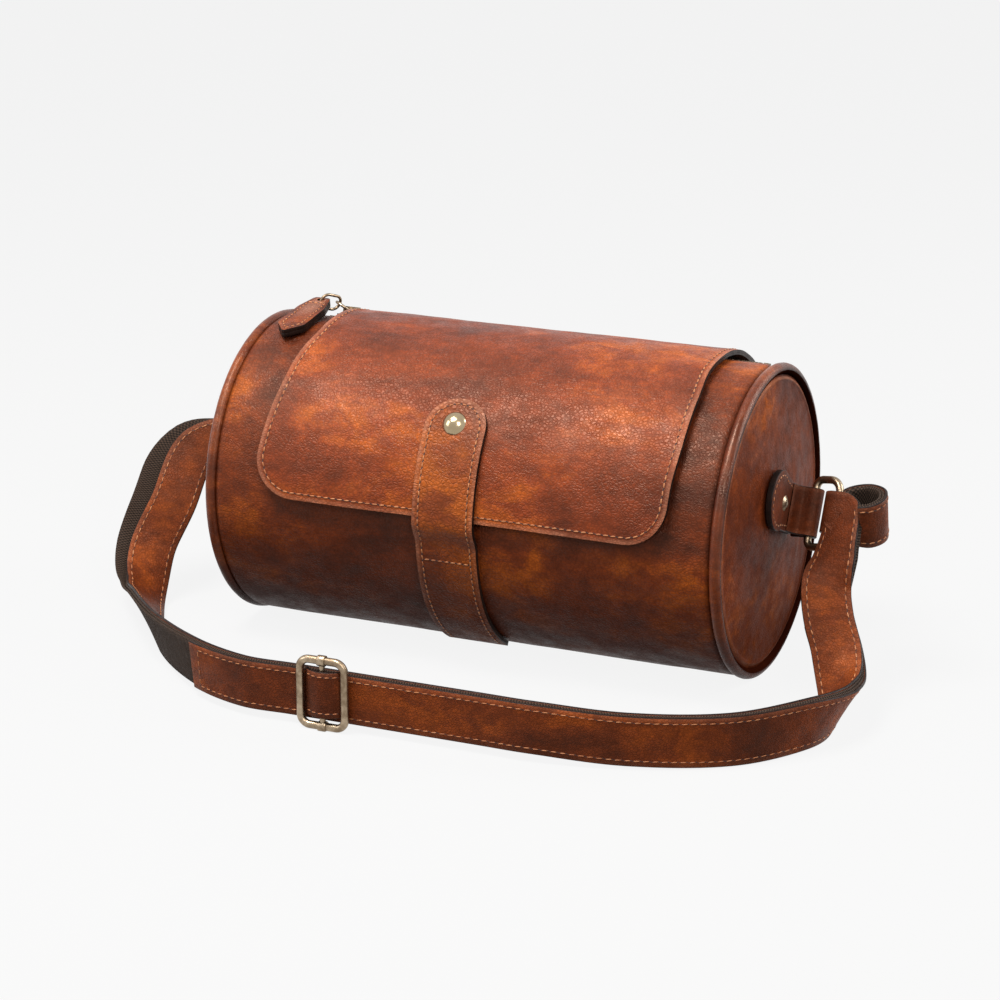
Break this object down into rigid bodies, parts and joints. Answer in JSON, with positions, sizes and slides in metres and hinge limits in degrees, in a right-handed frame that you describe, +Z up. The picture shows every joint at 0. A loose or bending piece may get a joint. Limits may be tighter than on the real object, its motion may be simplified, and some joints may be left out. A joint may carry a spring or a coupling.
{
  "type": "barrel bag",
  "caption": "Leather barrel bag lying on its side: zip under a broad flap, snap tab, piped round ends with rings, and a webbing backed shoulder strap with a slider.",
  "frame": {"origin": "on the floor under the middle of the barrel, where the bag rests on its flattened underside", "axes": "+X along the barrel to the right, +Y to the rear, +Z up; the flap closes at the front, toward -Y"},
  "size_m": [0.4261, 0.2489, 0.1697],
  "materials": {
    "leather": "semi-gloss, mottled, fine pebble grain",
    "lining_cloth": "plain weave",
    "webbing": "ribbed webbing",
    "board_and_cord": "matt fibre",
    "old_brass": "antique, satin"
  },
  "bodies": {
    "root": {"body_shell": "leather", "body_lining": "lining_cloth", "end_panel_left": "leather", "end_panel_right": "leather", "end_board_left": "board_and_cord", "end_board_right": "board_and_cord", "piping_left": "leather", "piping_right": "leather", "piping_cores": "board_and_cord", "zip_tape_front": "webbing", "zip_tape_rear": "webbing", "zip_teeth_front": "old_brass", "zip_teeth_rear": "old_brass", "zip_stops": "old_brass", "flap_seam_strip": "leather", "closure_tab_base": "leather", "chape_left": "leather", "chape_right": "leather", "chape_rivets": "old_brass"},
    "flap": {"flap_outer": "leather", "flap_lining": "lining_cloth", "flap_magnet": "old_brass"},
    "tab": {"closure_tab": "leather", "closure_tab_lining": "lining_cloth", "tab_magnet": "old_brass", "snap_cap": "old_brass"},
    "zip_slider": {"zip_slider": "old_brass"},
    "zip_bail": {"zip_bail": "old_brass", "zip_link": "old_brass"},
    "zip_pull": {"zip_puller_front": "leather", "zip_puller_back": "leather"},
    "strap": {"strap_inner_leather": "leather", "strap_inner_webbing": "webbing", "strap_outer_webbing": "webbing", "strap_outer_leather": "leather", "d_ring_left": "old_brass", "d_ring_right": "old_brass"},
    "strap_buckle": {"strap_buckle_frame": "old_brass", "strap_buckle_bar": "old_brass", "strap_buckle_wrap": "leather"}
  },
  "joints": [
    {"name": "flap_hinge", "type": "hinge", "parent": "root", "child": "flap", "pos_m": [0, 0.04761, 0.14513], "axis": [-1, 0, 0], "range_deg": [0, 85], "deforming": ["flap_outer", "flap_lining"]},
    {"name": "tab_hinge", "type": "hinge", "parent": "root", "child": "tab", "pos_m": [0, -0.07981, 0.06409], "axis": [1, 0, 0], "range_deg": [0, 127.5], "deforming": ["closure_tab", "closure_tab_lining"]},
    {"name": "zip_slide", "type": "slide", "parent": "root", "child": "zip_slider", "axis": [1, 0, 0], "range_m": [0, 0.205], "deforming": ["zip_tape_front", "zip_tape_rear", "zip_teeth_front", "zip_teeth_rear"]},
    {"name": "bail_hinge", "type": "hinge", "parent": "zip_slider", "child": "zip_bail", "pos_m": [-0.10767, 0.02401, 0.15896], "axis": [-0.3746, 0.8867, -0.2711], "range_deg": [0, 60]},
    {"name": "puller_hinge", "type": "hinge", "parent": "zip_bail", "child": "zip_pull", "pos_m": [-0.11621, 0.01525, 0.16506], "axis": [-0.8158, 0.4968, 0.2961], "range_deg": [0, 70]},
    {"name": "strap_swing", "type": "hinge", "parent": "root", "child": "strap", "pos_m": [0, 0.01482, 0.08191], "axis": [-1, 0, 0], "range_deg": [0, 150], "deforming": ["chape_left", "chape_right"]},
    {"name": "slider_travel", "type": "slide", "parent": "strap", "child": "strap_buckle", "axis": [1, 0, 0], "range_m": [-0.012, 0.07]}
  ],
  "couplings": [
    {"joint": "tab_hinge", "follows": "flap_hinge", "ratio": 1.5},
    {"joint": "zip_slide", "follows": "flap_hinge", "m_per_rad": 0.13818}
  ]
}
